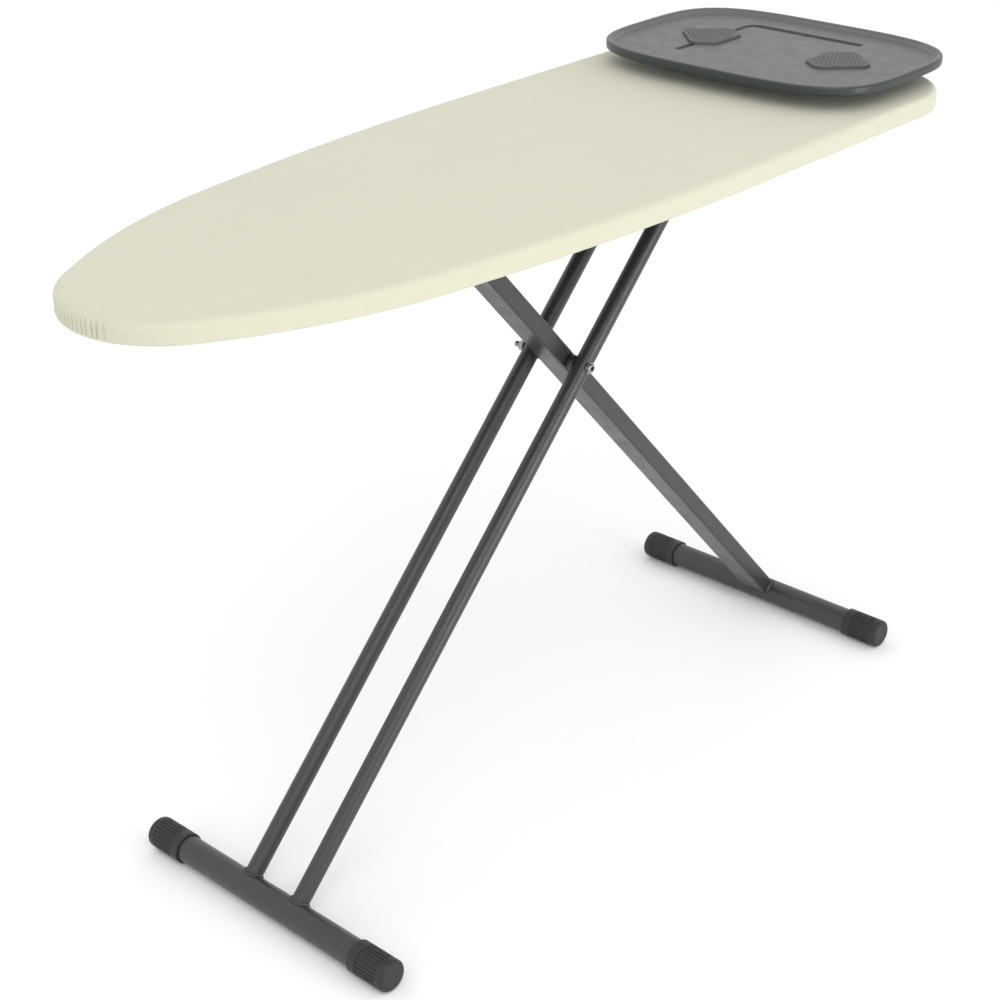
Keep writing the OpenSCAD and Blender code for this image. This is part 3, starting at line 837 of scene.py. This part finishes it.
def groove_loop(share):
    """Outline of the groove at a share of its half width, with round ends."""
    sides = ([], [])
    spots = [p for p, _ in GROOVE]
    for i, (p, half) in enumerate(GROOVE):
        t = (spots[min(i + 1, len(spots) - 1)] - spots[max(i - 1, 0)]).normalized()
        n = Vector((-t.y, t.x))
        sides[0].append(p + n * half * share)
        sides[1].append(p - n * half * share)
    loop = list(sides[0])
    for centre, along, half, last in (
            (spots[-1], spots[-1] - spots[-2], GROOVE[-1][1], True),
            (spots[0], spots[0] - spots[1], GROOVE[0][1], False)):
        along = along.normalized()
        n = Vector((-along.y, along.x))
        for k in range(1, 10):
            a = math.pi * k / 10
            loop.append(centre + (n * math.cos(a) + along * math.sin(a)) * half * share)
        if last:
            loop += list(reversed(sides[1]))
    return loop


def groove_share(p):
    """Distance from the groove's centre line, as a share of its half width there."""
    best = 1e9
    for (a, half_a), (b, half_b) in zip(GROOVE, GROOVE[1:]):
        t = max(0, min(1, (p - a).dot(b - a) / (b - a).length_squared))
        best = min(best, (p - a.lerp(b, t)).length / (half_a + (half_b - half_a) * t))
    return best


# The groove's section: share of its half width, and depth there in millimetres
GROOVE_DEPTHS = [(0.4, 2.5), (0.62, 2.45), (0.72, 2.15), (0.79, 1.3), (0.84, 0.4), (0.89, 0.1),
                 (0.95, 0)]


def groove_depth(p):
    """Depth of the groove at a point of the tray's floor, in millimetres."""
    d = groove_share(p)
    if d <= GROOVE_DEPTHS[0][0]:
        return GROOVE_DEPTHS[0][1]
    for (r0, z0), (r1, z1) in zip(GROOVE_DEPTHS, GROOVE_DEPTHS[1:]):
        if d <= r1:
            return z0 + (z1 - z0) * (d - r0) / (r1 - r0)
    return 0.0


def inside(p, loop):
    """Whether a point lies inside a closed outline."""
    hit = False
    for i, a in enumerate(loop):
        b = loop[i - 1]
        if (a.y > p.y) != (b.y > p.y) and p.x < (b.x - a.x) * (p.y - a.y) / (b.y - a.y) + a.x:
            hit = not hit
    return hit


def make_tray():
    """The moulded tray: rim, floor, groove and the recesses under the rests."""
    angles = tray_angles(288)
    # Inset from the outline and height above the rim, from the floor's edge round to the underside
    section = [(17, -8), (15.4, -8), (14.4, -7.75), (13.6, -7.1), (12.9, -5.9), (12.2, -4.9),
               (11.2, -4.35), (9.6, -4.0), (8.4, -3.4), (7.4, -2.0), (6.6, -0.8), (5.4, -0.15),
               (4.2, 0), (2.6, -0.25), (1.3, -1.0), (0.45, -2.2), (0.05, -3.8), (0, -6),
               (0.05, -9), (0.2, -11.6), (0.6, -12.6), (1.4, -13), (2.3, -12.7), (2.8, -12.2),
               (3.0, -11.8), (3.4, -11.3), (4.2, -11.05), (5.4, -11)]
    rings = [tray_ring(angles, inset, z) for inset, z in section]
    parts = [loft(rings)]
    pads = [rest_outline(side, 0.3) for side in (1, -1)]
    loops = [rings[0]] + [groove_loop(r) for r, _ in GROOVE_DEPTHS] + [groove_loop(1.02)]
    loops += pads + [rest_outline(side, 0.9) for side in (1, -1)]
    flat, triangles = fill(loops)
    spots = []
    for p in flat:
        drop = groove_depth(p)
        if any(inside(p, pad) or min((p - q).length for q in pad) < 2e-6 for pad in pads):
            drop = 1.5
        spots.append(Vector((p.x, p.y, tray_floor - drop * MM)))
    for i, p in enumerate(rings[0]):
        spots[i] = p.copy()
    parts.append((spots, triangles))
    parts.append((rings[-1], [tuple(range(len(angles)))]))
    mesh = to_mesh("iron_tray", *merged(parts))
    face_outwards(mesh)
    made = add_object("iron_tray", mesh, "tray_plastic", "board", 50)
    # The outer wall and the groove's floor and banks get the darker plastic as painted shade.
    made.data.materials.append(LOOKS["tray_painted_shade"])
    for face in made.data.polygons:
        z = (face.center.z - tray_top) / MM
        wall = face.normal.z < 0.75 and z > -13.5 and tray_edge_inset(face.center) < 3.4
        if wall or groove_share(face.center.xy) < 0.84 and face.normal.z > 0:
            face.material_index = 1
    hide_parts("tray_shell")


def make_rest(side, node, name):
    """A silicone pad with rows of small domes."""
    rows = [(-0.6, -1.5), (-0.1, -1.2), (0, -0.8), (0, 3.1), (-0.25, 3.65), (-0.9, 4.0),
            (-2.2, 4.0)]
    rings = []
    for grow, z in rows:
        rings.append([Vector((p.x, p.y, tray_floor + z * MM)) for p in rest_outline(side, grow)])
    parts = [loft(rings)]
    border = rest_outline(side, -5.2)
    loops = [rings[-1]]
    domes = []
    x = -48.0
    row = 0
    while x < 50:
        y = -42.0 + (3.25 if row % 2 else 0)
        while y < 46:
            spot = rest_spot(side, x, y)
            if inside(spot, border):
                domes.append(spot)
            y += 6.5
        x += 5.8
        row += 1
    dome_rows, dome_sides, dome_top = [(2.2, 0), (1.75, 0.3), (1.3, 0.85), (0.7, 1.15)], 12, 1.2
    for spot in domes:
        for r, _ in dome_rows:
            loops.append([spot + Vector((math.cos(a), math.sin(a))) * r * MM
                          for a in (2 * math.pi * k / dome_sides for k in range(dome_sides))])
    flat, triangles = fill(loops, [tuple(spot) for spot in domes])
    heights = {}
    index = len(rings[-1])
    for _ in domes:
        for _, z in dome_rows:
            for _ in range(dome_sides):
                heights[index] = z
                index += 1
    spots = []
    for i, p in enumerate(flat):
        z = heights.get(i, dome_top if i >= index else 0)
        spots.append(Vector((p.x, p.y, tray_floor + (4.0 + z) * MM)))
    for i, p in enumerate(rings[-1]):
        spots[i] = p.copy()
    parts.append((spots, triangles))
    parts.append((rings[0], [tuple(range(len(rings[0])))]))
    mesh = to_mesh(name, *merged(parts))
    face_outwards(mesh)
    made = add_object(name, mesh, "silicone", "board", 40)
    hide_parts(node)


# ---- Legs and fasteners ----

# Lean of the front and the rear leg from the floor
FRONT_ANGLE, REAR_ANGLE = math.radians(45.4), math.radians(48.6)


def bead(foot, lean, outline, bar_r, name, node, body, offsets):
    """Weld beads where a tube with the given outline meets its foot bar."""
    along = Vector((lean[0], 0, lean[1]))
    normal = Vector((-lean[1], 0, lean[0]))
    draw = random.Random(5)
    parts = []
    for shift in offsets:
        path, outward = [], []
        for a, b, na, nb in outline:
            s = math.sqrt(bar_r ** 2 - a ** 2)
            path.append(foot + along * s + normal * a + Vector((0, b + shift, 0)))
            outward.append(normal * na + Vector((0, nb, 0)))
        wobble = [draw.uniform(0.9, 1.1) for _ in path]

        def radius(i, wobble=wobble):
            return (2.5 + 0.28 * math.sin(i * 2 * math.pi / 6)) * wobble[i] * MM

        parts.append(sweep(path, outward, radius, 10))
    mesh = to_mesh(name, *merged(parts))
    face_outwards(mesh)
    made = add_object(name, mesh, "frame_paint", body, 70)
    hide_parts(node)


def round_outline(r, count=132):
    """Samples of a circle as (a, b, outward a, outward b)."""
    return [(r * math.cos(a), r * math.sin(a), math.cos(a), math.sin(a))
            for a in (2 * math.pi * i / count for i in range(count))]


def box_outline(half_a, half_b, r, step=0.0009):
    """A rectangle with round corners, walked round at an even step."""
    corners = [(half_a - r, half_b - r, 0), (-half_a + r, half_b - r, 90),
               (-half_a + r, -half_b + r, 180), (half_a - r, -half_b + r, 270)]
    out = []
    for i, (ca, cb, start) in enumerate(corners):
        for k in range(8):
            a = math.radians(start + 90 * k / 8)
            out.append((ca + r * math.cos(a), cb + r * math.sin(a), math.cos(a), math.sin(a)))
        na, nb, _ = corners[(i + 1) % 4]
        a = math.radians(start + 90)
        n = max(2, int(math.hypot(na - ca, nb - cb) / step))
        for k in range(n):
            t = k / n
            out.append((ca + (na - ca) * t + r * math.cos(a), cb + (nb - cb) * t + r * math.sin(a),
                        math.cos(a), math.sin(a)))
    return out


def make_beads():
    """The weld beads at both foot bars."""
    front_lo, front_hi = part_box("front_foot_bar")
    rear_lo, rear_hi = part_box("rear_foot_bar")
    front, rear = (front_lo + front_hi) / 2, (rear_lo + rear_hi) / 2
    front.y = rear.y = 0
    bar_r = (front_hi.z - front_lo.z) / 2
    tube_lo, tube_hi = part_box("leg_tube_left")
    leg_y = (tube_lo.y + tube_hi.y) / 2
    leg_r = (tube_hi.y - tube_lo.y) / 2
    lean = (math.cos(FRONT_ANGLE), math.sin(FRONT_ANGLE))
    bead(front, lean, round_outline(leg_r), bar_r, "front_beads", "front_welds", "front_leg",
         (leg_y, -leg_y))
    rear_tube_lo, rear_tube_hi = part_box("rear_leg_tube")
    lean = (-math.cos(REAR_ANGLE), math.sin(REAR_ANGLE))
    outline = box_outline(12.2 * MM, (rear_tube_hi.y - rear_tube_lo.y) / 2, 3 * MM)
    bead(rear, lean, outline, bar_r, "rear_beads", "rear_welds", "rear_leg", (0,))


def make_spring():
    """The latch's return spring: a coil round the axle."""
    lo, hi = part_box("latch_spring")
    middle = (lo + hi) / 2
    wire = 0.7 * MM
    coil_r = (hi.z - lo.z) / 2 - wire
    length = hi.x - lo.x - 2 * wire
    turns, per_turn = 11, 30
    path, outward = [], []
    count = turns * per_turn
    for i in range(count + 1):
        t = i / count
        a = 2 * math.pi * turns * t
        out = Vector((0, math.cos(a), math.sin(a)))
        flat = min(1, max(0, (t - 0.08) / 0.84))
        eased = 0.92 * flat + 0.08 * t
        path.append(Vector((lo.x + wire + length * eased, middle.y, middle.z)) + out * coil_r)
        outward.append(out)
    mesh = to_mesh("latch_coil", *sweep(path, outward, lambda i: wire, 10, closed=False))
    face_outwards(mesh)
    made = add_object("latch_coil", mesh, "zinc_steel", "board", 60)
    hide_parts("latch_spring")


def button_head(origin, axis):
    """A low domed bolt head with a hexagonal socket."""
    u = Vector((1, 0, 0))
    v = axis.cross(u)
    flat_r, sides = 3.0, 48
    rings = []
    # Distance along the axis, then a share of the socket's size or a radius
    section = [(2.6, 0.2, True), (2.6, 1, True), (0.12, 1, True), (0, 1.07, True),
               (0.05, 4.6, False), (0.5, 5.7, False), (1.2, 6.25, False), (2.2, 6.5, False),
               (3.2, 6.4, False), (3.4, 6.1, False), (3.4, 3.0, False)]
    for along, size, hexagon in section:
        ring = []
        for i in range(sides):
            a = 2 * math.pi * i / sides
            wedge = (a + math.pi / 6) % (math.pi / 3) - math.pi / 6
            r = flat_r / math.cos(wedge) * size if hexagon else size
            ring.append(origin + axis * along * MM + (u * math.cos(a) + v * math.sin(a)) * r * MM)
        rings.append(ring)
    points, faces = loft(rings)
    cap_ends(points, faces, sides)
    return points, faces


def make_pivot_bolt():
    """The bolt through both legs: button head on the near side, thread beyond the nut."""
    lo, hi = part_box("pivot_bolt")
    nut_lo, nut_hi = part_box("pivot_nut")
    centre = (nut_lo + nut_hi) / 2
    axis = Vector((0, 1, 0))
    start = Vector((centre.x, lo.y, centre.z))
    end = hi.y - lo.y
    thread_from = nut_lo.y - lo.y - 6 * MM
    shank_r, root_r, pitch = 4.0 * MM, 3.45 * MM, 1.25 * MM
    sides, rings = 36, []
    along = 3.3 * MM
    step = pitch / 8
    while along < end:
        ring = []
        for i in range(sides):
            a = 2 * math.pi * i / sides
            r = shank_r
            if along > thread_from:
                phase = (along / pitch - i / sides) % 1
                r = root_r + (shank_r - root_r) * abs(2 * phase - 1)
            tip = (end - along) / MM
            r = min(r, (3.0 + tip) * MM)
            ring.append(start + axis * along + Vector((math.cos(a), 0, -math.sin(a))) * r)
        rings.append(ring)
        along += step if along > thread_from - step else thread_from - along
    points, faces = loft(rings)
    cap_ends(points, faces, sides)
    mesh = to_mesh("crossing_bolt", *merged([button_head(start, axis), (points, faces)]))
    face_outwards(mesh)
    made = add_object("crossing_bolt", mesh, "zinc_steel", "front_leg", 25)
    # The hex socket's walls and floor get the black plastic as painted shade in the hole.
    made.data.materials.append(LOOKS["black_plastic"])
    for face in made.data.polygons:
        off = face.center - start
        if off.y < 2.7 * MM and math.hypot(off.x, off.z) < 3.45 * MM:
            face.material_index = 1
    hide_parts("pivot_bolt")


def make_spacers():
    """Moulded rings with a rounded shoulder between the rear leg and the front tubes."""
    lo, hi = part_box("pivot_spacers")
    _, rear_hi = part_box("rear_leg_tube")
    centre = (lo + hi) / 2
    bore, outer = 4.1, (hi.z - lo.z) / 2 / MM
    near, far = rear_hi.y + 0.3 * MM, hi.y
    parts = []
    for side in (1, -1):
        axis = Vector((0, side, 0))
        u = Vector((1, 0, 0))
        v = axis.cross(u)
        section = [(near, bore), (near, outer - 1.6), (near + 0.5 * MM, outer - 0.6),
                   (near + 1.6 * MM, outer), (far - 1.6 * MM, outer),
                   (far - 0.5 * MM, outer - 0.6), (far, outer - 1.6), (far, bore)]
        rings = []
        for along, r in section:
            rings.append([Vector((centre.x, 0, centre.z)) + axis * along
                          + (u * math.cos(a) + v * math.sin(a)) * r * MM
                          for a in (2 * math.pi * i / 64 for i in range(64))])
        parts.append(loft(rings, closed_profile=True))
    mesh = to_mesh("crossing_spacers", *merged(parts))
    face_outwards(mesh)
    made = add_object("crossing_spacers", mesh, "black_plastic", "front_leg", 30)
    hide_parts("pivot_spacers")


cover_edge, cover_rows = make_cover()
make_stitches(cover_edge, cover_rows)
make_elastic()
make_felt()
make_tray()
make_rest(1, "rest_pad_left", "iron_rest_left")
make_rest(-1, "rest_pad_right", "iron_rest_right")
make_beads()
make_spring()
make_pivot_bolt()
make_spacers()

for cad_name, piece_name, look_name, body_name, width in (
        ("latch_grip", "release_grip", "black_plastic", "latch", 2.0),
        ("latch_plate", "brake_plate", "zinc_steel", "latch", 0.35),
        ("latch_pad", "brake_pad", "cap_rubber", "latch", 0.6),
        ("pivot_nut", "crossing_nut", "zinc_steel", "front_leg", 0.5),
        ("tray_arm_left", "tray_strut_left", "frame_paint", "board", 0.9),
        ("tray_arm_right", "tray_strut_right", "frame_paint", "board", 0.9),
        ("leg_plugs", "front_tube_plugs", "black_plastic", "front_leg", 0.7),
        ("rear_plug", "rear_tube_plug", "black_plastic", "rear_leg", 0.7),
        ("rod_caps", "rod_end_caps", "black_plastic", "rear_leg", 0.8)):
    rounded_copy(cad_name, piece_name, look_name, body_name, width)


# ---- Studio ----

def area_light(name, at, aim, size, power):
    data = bpy.data.lights.new(name, "AREA")
    data.shape = "RECTANGLE"
    data.size, data.size_y = size
    data.energy = power
    lamp = bpy.data.objects.new(name, data)
    bpy.context.scene.collection.objects.link(lamp)
    turn = (Vector(aim) - Vector(at)).to_track_quat("-Z", "Y").to_matrix().to_4x4()
    lamp.matrix_world = Matrix.Translation(at) @ turn


def make_studio():
    """A white floor under an even sky, a soft light over the camera and one from the side."""
    mesh = to_mesh("studio_floor", [(-20, -20, 0), (20, -20, 0), (20, 20, 0), (-20, 20, 0)],
                   [(0, 1, 2, 3)])
    mesh.materials.append(floor_look())
    floor = bpy.data.objects.new("studio_floor", mesh)
    bpy.context.scene.collection.objects.link(floor)
    world = bpy.data.worlds.new("studio_world")
    world.use_nodes = True
    background = world.node_tree.nodes["Background"]
    background.inputs["Color"].default_value = (1, 1, 1, 1)
    background.inputs["Strength"].default_value = 1.05
    bpy.context.scene.world = world
    area_light("key_light", (-1.8, -1.9, 3.2), (0, 0, 0.7), (2.2, 2.2), 30)
    area_light("side_light", (0.5, -3.6, 0.8), (0, 0, 0.6), (1.1, 1.6), 33)
    bpy.context.scene.view_settings.view_transform = "Standard"


make_studio()
